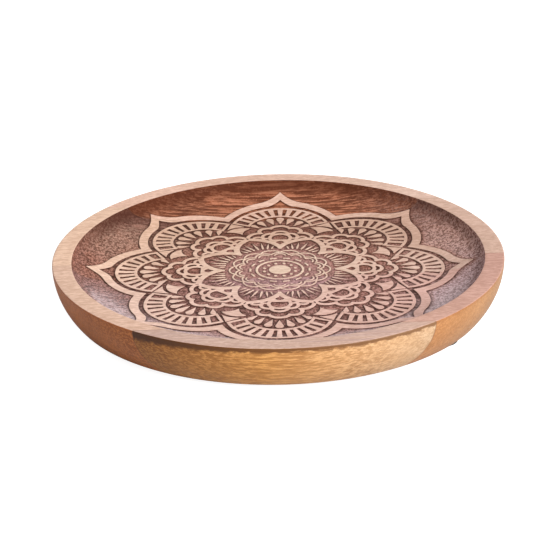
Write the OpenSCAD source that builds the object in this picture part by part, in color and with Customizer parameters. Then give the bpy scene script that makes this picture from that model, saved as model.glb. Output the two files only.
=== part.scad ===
// Round wooden offering plate: a turned tray glued up from four boards, with a
// carved flower relief in its basin, a broad flat rim, a rounded outer wall and
// three screwed-on rubber feet. Millimetres, +Z up, origin on the surface the
// plate stands on, under the centre of the rim. The boards and their grain run
// along X.

/* [Plate] */
// outside diameter over the rim
plate_d = 300; // [240:5:400]
// thickness of the wood, underside to rim
wood_t = 30; // [26:1:40]
// width of the flat rim
rim_w = 12.8; // [8:0.2:20]
// depth of the basin down to the top of the relief
basin_depth = 12.6; // [9:0.1:14]
// how far the stained ground lies below the top of the relief
relief_h = 0.6; // [0.4:0.1:2]
// radius of the flat middle of the basin floor
floor_r = 99.2; // [80:0.1:110]
// radius of the wide cove between floor and wall
cove_r = 91.5; // [60:0.5:110]
// radius of the tight cove under the rim
lip_r = 10; // [8:0.1:14]
// radius of the curved outside wall
wall_r = 45; // [40:0.1:60]
// bevel of the rim's outer edge
rim_bevel = 0.6; // [0.3:0.1:2]
// rounding of the underside's edge
base_round = 2; // [1:0.1:4]

/* [Boards] */
// where the front seam lies
seam_front_y = -117.1; // [-124:0.1:-110]
// width of the board behind the front seam
front_middle_w = 106; // [98:0.1:110]
// width of the next board
back_middle_w = 102.6; // [98:0.1:106]

/* [Carving] */
// turn of the carving against the grain
carving_turn = -2.1; // [-22.5:0.1:22.5]
// carving centre, to the right of the plate centre
carving_x = 0.96; // [-3:0.01:3]
// carving centre, behind the plate centre
carving_y = 1.48; // [-3:0.01:3]
// half width of the cloud outlines
cloud_line = 1.38; // [0.8:0.01:2]

/* [Feet] */
// height of a foot
foot_h = 3; // [2:0.5:8]
// radius of a foot where it meets the wood
foot_r = 10; // [6:0.5:14]
// radius of the circle the feet stand on
foot_pcr = 126.6; // [100:0.1:127]
// direction of the first foot
foot_turn = -36.3; // [-90:0.1:90]
// screw shank radius
screw_r = 1.5; // [1:0.1:2.5]
// screw length in the wood
screw_l = 10; // [6:0.5:12]

/* [Output] */
// which piece to draw

/* [Hidden] */
$fn = 96;
// floor, seams, carving and foot circle are sized for a 300 mm plate and grow with it
ratio = plate_d / 300;
plate_r = plate_d / 2;
past = 1;         // how far cutting shapes run past the material
floor_lap = 0.5;  // how far the wide cove laps over the floor and the tight cove
lip_lap = 0.05;   // how far the tight cove is moved out, and how much it is enlarged
cutter_h = 60;    // height of cutting shapes that are open at the top

rim_z = foot_h + wood_t;
top_z = rim_z - basin_depth;
ground_z = top_z - relief_h;
floor_x = floor_r * ratio;
cove_z = top_z + cove_r;
cove_to_lip = cove_r + relief_h - lip_r;  // between the centres of the two coves
lip_x = plate_r - rim_w - lip_r + lip_lap;
lip_z = cove_z - sqrt(pow(cove_to_lip, 2) - pow(lip_x - floor_x, 2));
wall_x = plate_r - wall_r;
front_seam = seam_front_y * ratio;
middle_seam = front_seam + front_middle_w * ratio;
back_seam = middle_seam + back_middle_w * ratio;

// ---- helpers: flat shapes in 300 mm plate sizes ------------------------------
module disc(x, y, r) { translate([x * ratio, y * ratio]) circle(r = r * ratio); }
module ring(x, y, outer_r, inner_r) {
    difference() {
        disc(x, y, outer_r);
        disc(x, y, inner_r);
    }
}
module poly(points) { polygon([for (p = points) p * ratio]); }
// strip across the Y axis from y0 to y1, with the half width at each end
module strip(y0, y1, half_0, half_1) {
    poly([[-half_0, y0], [half_0, y0], [half_1, y1], [-half_1, y1]]);
}
module both() {
    children();
    mirror([1, 0, 0]) children();
}
module around(n, start = 0) {
    for (k = [0:n - 1]) rotate(start + k * 360 / n) children();
}
function polar(r, angle) = r * [cos(angle), sin(angle)];
function bezier(start, bend, end, steps) = [
    for (i = [0:steps])
        let (t = i / steps)
        (1 - t) * (1 - t) * start + 2 * t * (1 - t) * bend + t * t * end
];
function mirrored(points) = [for (i = [len(points) - 1:-1:0]) [-points[i].x, points[i].y]];

// ---- plate body ------------------------------------------------------------
// section of the blank: flat underside, rounded wall, flat rim
module blank_section() {
    // centre of the underside's rounding, which runs into the wall without a step
    inner_r = wall_r - base_round;
    inner_h = wood_t - base_round;
    round_x = wall_x + sqrt(pow(inner_r, 2) - pow(inner_h, 2));
    round_z = foot_h + base_round;
    // where the rounding meets the wall
    meet_x = round_x + base_round * (round_x - wall_x) / inner_r;
    meet_z = round_z - base_round * inner_h / inner_r;
    difference() {
        intersection() {
            translate([0, foot_h]) square([plate_r + past, wood_t]);
            union() {
                translate([0, foot_h]) square([wall_x, wood_t]);
                translate([wall_x, rim_z]) circle(r = wall_r, $fn = 180);
            }
        }
        polygon([[plate_r - rim_bevel - past, rim_z + past],
                 [plate_r + past, rim_z - rim_bevel - past],
                 [plate_r + past, rim_z + past]]);
        difference() {
            polygon([[round_x, foot_h - past], [round_x, round_z], [meet_x, meet_z],
                     [plate_r, meet_z], [plate_r, foot_h - past]]);
            translate([round_x, round_z]) circle(r = base_round, $fn = 48);
        }
    }
}

// section of the hollow: sink = 0 down to the relief, relief_h down to the ground
module hollow_section(sink) {
    least_rim = 4;
    cove_w = (lip_x - floor_x) * (cove_r + sink) / cove_to_lip;
    lip_reach = lip_r - relief_h + sink;
    intersection() {
        translate([0, ground_z - past]) square([plate_r - least_rim, wood_t]);
        union() {
            translate([0, top_z - sink]) square([floor_x, wood_t]);
            intersection() {
                translate([floor_x, cove_z]) circle(r = cove_r + sink, $fn = 360);
                translate([floor_x - floor_lap, top_z - sink - past])
                    square([cove_w + floor_lap, cutter_h]);
            }
            translate([lip_x, lip_z]) circle(r = lip_reach + lip_lap, $fn = 120);
            translate([0, lip_z]) square([lip_x + lip_reach, cutter_h]);
        }
    }
}

// ---- carving, seen from above, one big petal pointing to +Y -----------------
petals = 8;
between = 180 / petals;  // turn from a big petal to the axis between two
petal_y = 75.4;          // centre of a big petal's arc and of its fan

// big petal: an arc of radius r, left at join_angle from +Y for a curved point
module ogee(r, join_angle, bend, tip_y) {
    join = [r * sin(join_angle), petal_y + r * cos(join_angle)];
    side = bezier(join, bend, [0, tip_y], 6);
    disc(0, petal_y, r);
    poly(concat(side, mirrored(side)));
}
module ogee_bands() {
    difference() {
        around(petals) ogee(44, 20, [6.9, 119.7], 129.4);
        around(petals) ogee(38, 16, [5.9, 112.9], 121);
        disc(0, 0, 60);
    }
}

// framed fan of bars between two arcs
fan_cell_angles = [6.1, 18.7, 31.3, 43.7, 55.8];
module fan_crescent(outer_r, inner_r) {
    difference() {
        disc(0, petal_y, outer_r);
        disc(0, 73.9, inner_r);
    }
}
module fan() {
    difference() {
        intersection() {
            fan_crescent(34.7, 21.5);
            poly([[0, 66.9], [60, 96.9], [60, 125], [-60, 125], [-60, 96.9]]);
        }
        // hollow cells between the bars, the last pair running out to the sides
        intersection() {
            fan_crescent(32.5, 23.5);
            union() {
                for (angle = fan_cell_angles)
                    both() translate([0, petal_y * ratio]) rotate(-angle)
                        strip(20, 34, 0.95, 1.7);
                both() poly([[0, 69], [60, 99.2], [60, 112.4]]);
            }
        }
    }
}

// drops: head centre, head radius, tip
middle_drop = [[0, 90.9], 2.75, [0, 81.6]];
side_drops = [
    [[7.25, 88.9], 2.6, [4.4, 80.5]],
    [[13.9, 84.2], 2.45, [9.2, 77.3]],
    [[18.6, 78.7], 1.95, [13.7, 74.3]],
];
// round head drawn to a point; the straight sides start just inside the head,
// so they cross its circle cleanly
module drop(row) {
    head = row[0];
    head_r = row[1];
    tip = row[2];
    start_r = 0.985 * head_r;
    spread = acos(head_r / norm(tip - head));
    aim = atan2(tip.y - head.y, tip.x - head.x);
    disc(head.x, head.y, head_r);
    poly([tip, head + polar(start_r, aim + spread), head, head + polar(start_r, aim - spread)]);
}
module drops() {
    drop(middle_drop);
    both() for (row = side_drops) drop(row);
}

// filler between two fans: a cut-out diamond over a small two-sided arch
module filler() {
    arch_y = 67.7;
    difference() {
        poly([[0, 89.6], [6.2, 81.2], [0, 78], [-6.2, 81.2]]);
        disc(0, arch_y, 14.55);
    }
    intersection() {
        difference() {
            disc(0, arch_y, 12.2);
            both() disc(11.5, 64.8, 11.85);
        }
        strip(66.5, 84, 14, 14);
    }
}

// scalloped cloud around the crown, its lobes grown by grow
module cloud(grow) {
    disc(0, 70.5, 7.35 + grow);
    both() {
        disc(8.6, 68, 5.9 + grow);
        disc(13.4, 56.2, 8.8 + grow);
    }
    poly([[-12, 46], [12, 46], [15, 60], [9, 68], [0, 71], [-9, 68], [-15, 60]]);
}

// round petals between the big ones, each bounded by two arcs of radius r
module round_petals(r) {
    around(petals, between) intersection() {
        disc(-8.4, 35.7, r);
        disc(8.4, 35.7, r);
    }
}

// curls of the crown: ring x, y, outer and inner radius, then the part kept
crown_curls = [
    [6.7, 58.4, 6.55, 4.15, [[3, 55.4], [20, 55.4], [20, 70], [3, 70]]],
    [8.1, 50.25, 5.95, 4.05, [[8.1, 50.25], [0, 56.7], [3, 62], [20, 62]]],
    [15.1, 53.8, 4.7, 2.75, [[15.1, 53.8], [9, 52.6], [9, 62], [22, 62], [19.6, 56.8]]],
];
// crown inside the cloud
module crown() {
    heart_y = 56;
    notch_y = 47.6;
    notch_r = 2.9;
    difference() {
        union() {
            disc(0, heart_y, 8.4);
            ring(0, 62.5, 6.9, 4.4);
            for (curl = crown_curls)
                both() intersection() {
                    ring(curl[0], curl[1], curl[2], curl[3]);
                    poly(curl[4]);
                }
            both() disc(18, 56, 0.97);
        }
        intersection() {
            disc(0, heart_y, 5.9);
            strip(53, 64, 9, 9);
        }
        disc(0, notch_y, notch_r);
        poly([[-notch_r, notch_y], [notch_r, notch_y], [0, 41]]);
    }
}

// side rays in a round petal: start, tip, half width
side_rays = [
    [[3.1, 37.7], [6.1, 48.8], 0.75],
    [[5.9, 36.8], [10.3, 45.6], 0.7],
    [[8.6, 36], [12.1, 40.6], 0.6],
];
// pointed ray, widest at 0.3 of its length
module ray(start, tip, half_w) {
    run = tip - start;
    side = half_w * [run.y, -run.x] / norm(run);
    widest = start + 0.3 * run;
    poly([start + 0.7 * side, widest + side, tip, widest - side, start - 0.7 * side]);
}
module rays() {
    ray([0, 37.6], [0, 50.4], 0.8);
    both() for (row = side_rays) ray(row[0], row[1], row[2]);
}

// the eight-fold part of the carving
module flower() {
    drop_gap = 0.9;    // ground left between drops and cloud outline
    filler_gap = 0.6;  // ground left between filler and cloud outline
    ogee_bands();
    around(petals) {
        difference() {
            drops();
            cloud(cloud_line + drop_gap);
        }
        fan();
    }
    around(petals, between) {
        difference() {
            filler();
            both() rotate(between) cloud(cloud_line + filler_gap);
        }
        rays();
    }
    difference() {
        union() {
            around(petals) difference() {
                cloud(cloud_line);
                cloud(-cloud_line);
            }
            around(petals) crown();
            difference() {
                round_petals(25.7);
                disc(0, 0, 36.8);
            }
        }
        round_petals(21.7);
        // small diamond beyond the tip of each round petal
        around(petals, between) poly([[0, 57.3], [0.75, 58.9], [0, 61], [-0.75, 58.9]]);
    }
}

// the fourteen-fold lace and the rings in the middle
module lace() {
    loops = 14;
    loop_y = 23.7;
    on_axis = 90;
    off_axis = on_axis + 180 / loops;
    difference() {
        union() {
            around(loops, on_axis) ring(0, 25.95, 8.35, 7.2);
            around(loops, off_axis) disc(0, loop_y, 6.85);
        }
        around(loops, off_axis) disc(0, loop_y, 5.75);
        disc(0, 0, 26);
    }
    // outer arcs inside the loops
    around(loops, off_axis) difference() {
        ring(0, loop_y, 4.4, 3.35);
        strip(15, 24.6, 8, 8);
    }
    // short dashes between the loops
    around(loops, on_axis) strip(19.1, 20.5, 2.4, 2.4);
    // ring, twelve dots and middle disc
    ring(0, 0, 16.3, 14.7);
    around(12, 15) disc(10.7, 0, 1.1);
    disc(0, 0, 7.3);
}

module carving() {
    translate([carving_x * ratio, carving_y * ratio]) rotate(carving_turn) {
        flower();
        lace();
    }
}

// ---- boards ----------------------------------------------------------------
side_over = 4;  // how far the outer boards' cutting blocks pass the rim in Y
end_over = 5;   // how far all of them pass it in X, and above it
module board(y0, y1) {
    difference() {
        intersection() {
            rotate_extrude($fn = 360) blank_section();
            translate([-plate_r - end_over, y0, 0])
                cube([2 * (plate_r + end_over), y1 - y0, rim_z + end_over]);
        }
        rotate_extrude($fn = 360) hollow_section(0);
        // the stained ground, cut deeper everywhere but under the carving
        intersection() {
            rotate_extrude($fn = 360) hollow_section(relief_h);
            translate([0, 0, ground_z - past]) linear_extrude(height = wood_t) difference() {
                translate([-plate_r, y0]) square([2 * plate_r, y1 - y0]);
                carving();
            }
        }
        screw_spots() cylinder(h = screw_l, r = screw_r, $fn = 32);
    }
}
module front_board() { color([0.80, 0.58, 0.36]) board(-plate_r - side_over, front_seam); }
module front_middle_board() { color([0.74, 0.50, 0.36]) board(front_seam, middle_seam); }
module back_middle_board() { color([0.78, 0.60, 0.48]) board(middle_seam, back_seam); }
module back_board() { color([0.72, 0.50, 0.38]) board(back_seam, plate_r + side_over); }

// ---- feet and screws ---------------------------------------------------------
feet = 3;
foot_bevel = 0.5;
recess_r = 3.7;  // recess for the screw head, in the foot's underside
recess_h = 1.4;

// places children on the underside of the wood, over each foot
module screw_spots() {
    around(feet, foot_turn) translate([foot_pcr * ratio, 0, foot_h]) children();
}
module foot(k) {
    color([0.09, 0.09, 0.09])
        rotate(foot_turn + k * 360 / feet) translate([foot_pcr * ratio, 0, 0])
            rotate_extrude($fn = 72) difference() {
                polygon([[screw_r, 0], [foot_r - foot_bevel, 0], [foot_r, foot_bevel],
                         [foot_r, foot_h], [screw_r, foot_h]]);
                translate([-past, -past]) square([recess_r + past, recess_h + past]);
            }
}
module front_right_foot() { foot(0); }
module back_foot() { foot(1); }
module left_foot() { foot(2); }

module foot_screws() {
    head_r = 3.2;
    head_h = 1.15;
    dome_r = 3.3;
    dome_rise = 1.6;  // dome centre above the top of the head
    slot_l = 4.8;
    slot_w = 0.7;
    slot_top = 0.8;   // height of the cross slot's bottom above the standing surface
    shank_lap = 0.1;
    seat_z = recess_h - foot_h;  // top of the head, from the underside of the wood
    color([0.72, 0.72, 0.70])
        screw_spots() difference() {
            rotate_extrude($fn = 48) union() {
                square([screw_r, screw_l]);
                translate([0, seat_z]) square([screw_r, shank_lap - seat_z]);
                intersection() {
                    translate([0, seat_z + dome_rise]) circle(r = dome_r);
                    translate([0, seat_z - head_h]) square([head_r, head_h]);
                }
            }
            for (slot = [[slot_l, slot_w], [slot_w, slot_l]])
                translate([-slot.x / 2, -slot.y / 2, -foot_h]) cube([slot.x, slot.y, slot_top]);
        }
}

front_board();
front_middle_board();
back_middle_board();
back_board();
front_right_foot();
back_foot();
left_foot();
foot_screws();
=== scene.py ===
# A round wooden plate, 300 mm across, glued up from four boards and carved inside with an
# eight-petal flower round a lace centre. It stands on three rubber feet. The plate's axis is Z
# and the floor is z = 0. The front is -Y, the boards run along X and the seams face +-Y.
import math
from functools import partial, reduce

import bmesh
import bpy
import numpy as np
from mathutils import Matrix, Vector
from mathutils.geometry import delaunay_2d_cdt

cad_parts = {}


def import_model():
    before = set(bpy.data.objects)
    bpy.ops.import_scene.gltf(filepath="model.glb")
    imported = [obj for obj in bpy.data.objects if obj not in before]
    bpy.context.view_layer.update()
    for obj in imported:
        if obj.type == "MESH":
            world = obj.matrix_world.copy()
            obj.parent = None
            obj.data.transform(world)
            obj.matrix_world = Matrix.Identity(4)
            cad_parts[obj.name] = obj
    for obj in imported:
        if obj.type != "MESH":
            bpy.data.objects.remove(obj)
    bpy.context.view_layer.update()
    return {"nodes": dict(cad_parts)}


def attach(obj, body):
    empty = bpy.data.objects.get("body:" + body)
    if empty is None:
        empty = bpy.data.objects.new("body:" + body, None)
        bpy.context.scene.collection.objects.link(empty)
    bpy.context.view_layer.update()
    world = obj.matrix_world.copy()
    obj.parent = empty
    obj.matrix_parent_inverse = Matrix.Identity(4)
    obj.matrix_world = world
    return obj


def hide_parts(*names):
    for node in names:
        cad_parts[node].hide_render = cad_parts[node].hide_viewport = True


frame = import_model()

MM = 0.001

# ---------------------------------------------------------------------------
# the plate, in millimetres
# ---------------------------------------------------------------------------
PLATE_RADIUS = 150.0
BASE_Z = 3.0
RIM_Z = 33.0
FLOOR_Z = 20.4          # top of the relief on the flat floor
RELIEF = 0.6            # height of the raised lines
# section of the hollow: flat floor, broad cove, then a tight cove up to the rim
FLOOR_RADIUS = 99.2
COVE_RADIUS, COVE_Z = 91.5, 111.9
LIP_RADIUS, LIP_X = 10.0, 127.25
LIP_Z = COVE_Z - math.sqrt(
    (COVE_RADIUS + RELIEF - LIP_RADIUS) ** 2 - (LIP_X - FLOOR_RADIUS) ** 2)
# section of the outer wall, an arc centred at rim height
WALL_RADIUS = 45.0
WALL_X = PLATE_RADIUS - WALL_RADIUS
BASE_ROUND = 2.0        # rounding between the wall and the underside
RIM_ROUND = 0.75        # rounding of the rim's outer edge
RIM_WEAR = 0.35         # height of the worn inner edge of the rim
WORN_EDGE = ((0.06, -0.14, 0.35), (0.2, -0.04, 0.8), (0.42, 0.0, 1.0))  # outwards, up, bare
RIM_RINGS = (139.6, 141.9, 144.2, 146.6, 148.2)
RIM_ROUND_STEPS = ((0, 0), (22, 0.1), (45, 0.5), (68, 0.9), (86, 1))    # degrees, outer
# screw holes in the underside
HOLE_RADIUS, HOLE_DEPTH, HOLE_TIP = 1.5, 10.0, 0.6
HOLE_CIRCLE, HOLE_TURN = 126.6, -36.3   # radius of their circle, bearing of the first
HOLE_SIDES = 24

# seams between the boards, from front to back: y, strength of the glue line
SEAMS = ((-117.1, 0.50), (-11.1, 0.35), (91.5, 0.35))

# the carving
PETALS = 8
PITCH = 360 / PETALS
HALF_PITCH = PITCH / 2
CARVING_TURN, CARVING_X, CARVING_Y = -2.1, 0.96, 1.48   # degrees, then its centre
ORIGIN = (0, 0)
PETAL_CENTRE = (0, 75.4)
LACE_REPEATS = 14
# sloping side of a raised line: inset from the line's edge, depth below its top
LEVELS = (0.17, 0.0, -0.34)
DEPTHS = (0.0, 0.14, RELIEF)

# the carving's mesh
INNER_RADIUS, OUTER_RADIUS = 35.7, 131.0    # circles where the meshes join
INNER_SIDES, OUTER_SIDES = 96, 384
GRID_STEP = 0.19
TOLERANCE = 0.014
OPEN_STEP = 2.3         # spacing of points on open ground
MARGIN = 0.9            # open points keep this far from a border
OPEN_CLEAR = 0.7        # and this far from a line's slope
GROUND = -3.0           # inset given to points on the joining circles
PLAIN = -3.5            # inset given to uncarved parts


def hollow_height(radius, below):
    """Height of the hollow at a radius, some way below the top of the relief."""
    radius = np.asarray(radius, float)
    below = np.broadcast_to(np.asarray(below, float), radius.shape)
    flat = FLOOR_Z - below
    cove = COVE_Z - np.sqrt(np.maximum((COVE_RADIUS + below) ** 2 - (radius - FLOOR_RADIUS) ** 2, 0))
    lip = LIP_Z - np.sqrt(np.maximum((LIP_RADIUS - RELIEF + below) ** 2 - (radius - LIP_X) ** 2, 0))
    change = FLOOR_RADIUS + (LIP_X - FLOOR_RADIUS) * (COVE_RADIUS + below) / (
        COVE_RADIUS + RELIEF - LIP_RADIUS)
    return np.where(radius <= FLOOR_RADIUS, flat, np.where(radius <= change, cove, lip))


# ---------------------------------------------------------------------------
# shapes as distance fields: functions of x and y that are positive inside
# ---------------------------------------------------------------------------
def disc(centre, radius):
    return lambda x, y: radius - np.hypot(x - centre[0], y - centre[1])


def union(*shapes):
    return lambda x, y: reduce(np.maximum, [shape(x, y) for shape in shapes])


def common(*shapes):
    return lambda x, y: reduce(np.minimum, [shape(x, y) for shape in shapes])


def minus(body, *holes):
    return lambda x, y: reduce(np.minimum, [body(x, y)] + [-hole(x, y) for hole in holes])


def ring(centre, outer, inner):
    return minus(disc(centre, outer), disc(centre, inner))


def polygon(points):
    points = [tuple(map(float, point)) for point in points]

    def field(x, y):
        nearest = np.full(x.shape, 1e18)
        inside = np.zeros(x.shape, bool)
        for (ax, ay), (bx, by) in zip(points, points[1:] + points[:1]):
            dx, dy = bx - ax, by - ay
            from_x, from_y = x - ax, y - ay
            along = np.clip((from_x * dx + from_y * dy) / (dx * dx + dy * dy), 0, 1)
            nearest = np.minimum(nearest, (from_x - dx * along) ** 2 + (from_y - dy * along) ** 2)
            if dy:
                inside ^= ((ay > y) != (by > y)) & (x < ax + (y - ay) * dx / dy)
        distance = np.sqrt(nearest)
        return np.where(inside, distance, -distance)

    return field


def turned(shape, degrees):
    """Turned counter-clockwise about the origin."""
    cos, sin = math.cos(math.radians(degrees)), math.sin(math.radians(degrees))
    return lambda x, y: shape(x * cos + y * sin, -x * sin + y * cos)


def mirrored(shape):
    """The shape and its mirror image across x = 0."""
    return lambda x, y: np.maximum(shape(x, y), shape(-x, y))


def repeated(shape):
    """Of the copies round the plate, only those that reach the half petal that is meshed."""
    return union(shape, turned(shape, -PITCH), turned(shape, PITCH))


# ---------------------------------------------------------------------------
# the flower; its first petal points along +Y
# ---------------------------------------------------------------------------
# round part's radius, degrees from the axis where the curve to the tip leaves it,
# the curve's control point, the tip
OUTER_OGEE = (44, 20, (6.9, 119.7), (0, 129.4))
INNER_OGEE = (38, 16, (5.9, 112.9), (0, 121))
# drops beside the axis: centre x and y, radius, tip x and y
SIDE_DROPS = (
    (7.25, 88.9, 2.6, 4.4, 80.5), (13.9, 84.2, 2.45, 9.2, 77.3), (18.6, 78.7, 1.95, 13.7, 74.3))
# rays beside the axis: foot x and y, tip x and y, half width
SIDE_RAYS = (
    (3.1, 37.7, 6.1, 48.8, 0.75), (5.9, 36.8, 10.3, 45.6, 0.7), (8.6, 36, 12.1, 40.6, 0.6))
CLOUD_LINE = 1.38       # half width of the line round the cloud
DROP_GAP, FILLER_GAP = 0.9, 0.6     # clear ground outside that line


def ogee(radius, leave, control, tip):
    """Disc drawn out to a point by a curve on each side."""
    leave = math.radians(leave)
    centre_y = PETAL_CENTRE[1]
    start = np.array((radius * math.sin(leave), centre_y + radius * math.cos(leave)))
    control, tip = np.array(control), np.array(tip)
    side = [(1 - t) ** 2 * start + 2 * t * (1 - t) * control + t * t * tip
            for t in np.linspace(0, 1, 19)]
    return union(disc(PETAL_CENTRE, radius), polygon(side + [(-x, y) for x, y in side[-2::-1]]))


def fan_cell(degrees):
    """Tapered cell turned clockwise about the petal's centre."""
    foot, foot_y, head, head_y = 1.9 / 2, 20, 3.4 / 2, 34
    cos, sin = math.cos(math.radians(-degrees)), math.sin(math.radians(-degrees))
    corners = [(-foot, foot_y), (foot, foot_y), (head, head_y), (-head, head_y)]
    return polygon([(x * cos - y * sin, x * sin + y * cos + PETAL_CENTRE[1]) for x, y in corners])


def fan():
    """Arched band with sunk cells between its ribs."""
    lower_centre = (0, 73.9)
    band = minus(disc(PETAL_CENTRE, 34.7), disc(lower_centre, 21.5))
    sunk_band = minus(disc(PETAL_CENTRE, 32.5), disc(lower_centre, 23.5))
    wedge = polygon([(0, 66.9), (60, 96.9), (60, 125), (-60, 125), (-60, 96.9)])
    end_cell = polygon([(0, 69), (60, 99.2), (60, 112.4)])
    cells = [mirrored(fan_cell(degrees)) for degrees in (6.1, 18.7, 31.3, 43.7, 55.8)]
    cells.append(mirrored(end_cell))
    return minus(common(band, wedge), common(sunk_band, union(*cells)))


def drop(x, y, radius, tip_x, tip_y):
    spread = math.acos(radius / math.hypot(tip_x - x, tip_y - y))
    aim = math.atan2(tip_y - y, tip_x - x)
    reach = 0.995 * radius
    left, right = [(x + reach * math.cos(angle), y + reach * math.sin(angle))
                   for angle in (aim + spread, aim - spread)]
    return union(disc((x, y), radius), polygon([(tip_x, tip_y), left, (x, y), right]))


def drops():
    return union(drop(0, 90.9, 2.75, 0, 81.6), mirrored(union(*[drop(*row) for row in SIDE_DROPS])))


def filler():
    """Kite over an arch, between two petals."""
    centre = (0, 67.7)
    kite = polygon([(0, 89.6), (6.2, 81.2), (0, 78), (-6.2, 81.2)])
    arch = minus(disc(centre, 12.2), mirrored(disc((11.5, 64.8), 11.85)))
    box = polygon([(-14, 66.5), (14, 66.5), (14, 84), (-14, 84)])
    return union(minus(kite, disc(centre, 14.55)), common(arch, box))


def cloud(grow):
    """Five-lobed cloud, its lobes grown by a distance."""
    core = [(-12, 46), (12, 46), (15, 60), (9, 68), (0, 71), (-9, 68), (-15, 60)]
    return union(
        disc((0, 70.5), 7.35 + grow),
        mirrored(union(disc((8.6, 68), 5.9 + grow), disc((13.4, 56.2), 8.8 + grow))),
        polygon(core),
    )


def round_petals(radius):
    """Pointed petals between the large ones, each where two discs overlap."""
    lens = common(disc((-8.4, 35.7), radius), disc((8.4, 35.7), radius))
    return repeated(turned(lens, HALF_PITCH))


def crown():
    """Ring and curls round a hollowed disc, inside the cloud."""
    core, low, outer = (0, 56), (8.1, 50.25), (15.1, 53.8)
    upper_curl = common(
        ring((6.7, 58.4), 6.55, 4.15), polygon([(3, 55.4), (20, 55.4), (20, 70), (3, 70)]))
    lower_curl = common(ring(low, 5.95, 4.05), polygon([low, (0, 56.7), (3, 62), (20, 62)]))
    outer_curl = common(
        ring(outer, 4.7, 2.75), polygon([outer, (9, 52.6), (9, 62), (22, 62), (19.6, 56.8)]))
    notch_centre, notch = (0, 47.6), 2.9
    notch_y = notch_centre[1]
    return minus(
        union(
            disc(core, 8.4),
            ring((0, 62.5), 6.9, 4.4),
            mirrored(upper_curl), mirrored(lower_curl), mirrored(outer_curl),
            mirrored(disc((18, 56), 0.97)),
        ),
        common(disc(core, 5.9), polygon([(-9, 53), (9, 53), (9, 64), (-9, 64)])),
        disc(notch_centre, notch),
        polygon([(-notch, notch_y), (notch, notch_y), (0, 41)]),
    )


def ray(x, y, tip_x, tip_y, half_width):
    """Spike that is widest at 0.3 of its length and 0.7 of that width at its foot."""
    length = math.hypot(tip_x - x, tip_y - y)
    side_x = (tip_y - y) / length * half_width
    side_y = -(tip_x - x) / length * half_width
    mid_x, mid_y = x + (tip_x - x) * 0.3, y + (tip_y - y) * 0.3
    return polygon([
        (x + side_x * 0.7, y + side_y * 0.7), (mid_x + side_x, mid_y + side_y), (tip_x, tip_y),
        (mid_x - side_x, mid_y - side_y), (x - side_x * 0.7, y - side_y * 0.7)])


def rays():
    return union(ray(0, 37.6, 0, 50.4, 0.8), mirrored(union(*[ray(*row) for row in SIDE_RAYS])))


def flower():
    outline = minus(repeated(ogee(*OUTER_OGEE)), repeated(ogee(*INNER_OGEE)), disc(ORIGIN, 60))
    filling = minus(filler(), mirrored(turned(cloud(CLOUD_LINE + FILLER_GAP), HALF_PITCH)))
    ornaments = union(
        minus(drops(), cloud(CLOUD_LINE + DROP_GAP)),
        fan(),
        turned(filling, HALF_PITCH),
        turned(rays(), HALF_PITCH),
    )
    heart = union(
        repeated(minus(cloud(CLOUD_LINE), cloud(-CLOUD_LINE))),
        repeated(crown()),
        minus(round_petals(25.7), disc(ORIGIN, 36.8)),
    )
    nick = polygon([(0, 57.3), (0.75, 58.9), (0, 61), (-0.75, 58.9)])
    return union(
        outline,
        repeated(ornaments),
        minus(heart, round_petals(21.7), repeated(turned(nick, HALF_PITCH))),
    )


def lace():
    """Scalloped centre with arches, a ring, twelve dots and a boss."""
    arch_centre = (0, 23.7)

    def around(shape, offset):
        """Copies round the centre, offset by a part of the pitch."""
        pitch = 360 / LACE_REPEATS
        return union(*[turned(shape, 90 + (k + offset) * pitch) for k in range(LACE_REPEATS)])

    scallops = minus(
        union(around(ring((0, 25.95), 8.35, 7.2), 0), around(disc(arch_centre, 6.85), 0.5)),
        around(disc(arch_centre, 5.75), 0.5),
        disc(ORIGIN, 26),
    )
    below = polygon([(-8, 15), (8, 15), (8, 24.6), (-8, 24.6)])
    dash = polygon([(-2.4, 19.1), (2.4, 19.1), (2.4, 20.5), (-2.4, 20.5)])
    return union(
        scallops,
        around(minus(ring(arch_centre, 4.4, 3.35), below), 0.5),
        around(dash, 0),
        ring(ORIGIN, 16.3, 14.7),
        *[turned(disc((10.7, 0), 1.1), 15 + k * 30) for k in range(12)],
        disc(ORIGIN, 7.3),
    )


# ---------------------------------------------------------------------------
# contour lines of a grid, simplified
# ---------------------------------------------------------------------------
# which corners of a cell are above the level (1, 2, 4, 8 from row 0, column 0 on) and the
# two sides the contour crosses: top, right, bottom, left
CROSSINGS = {1: "lt", 2: "tr", 3: "lr", 4: "rb", 6: "tb", 7: "lb",
             8: "bl", 9: "bt", 11: "br", 12: "rl", 13: "rt", 14: "tl"}
# saddle cells: corners, crossings if the middle is above the level, crossings if it is not
SADDLES = ((5, ("tr", "bl"), ("lt", "rb")), (10, ("lt", "rb"), ("tr", "bl")))


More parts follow.
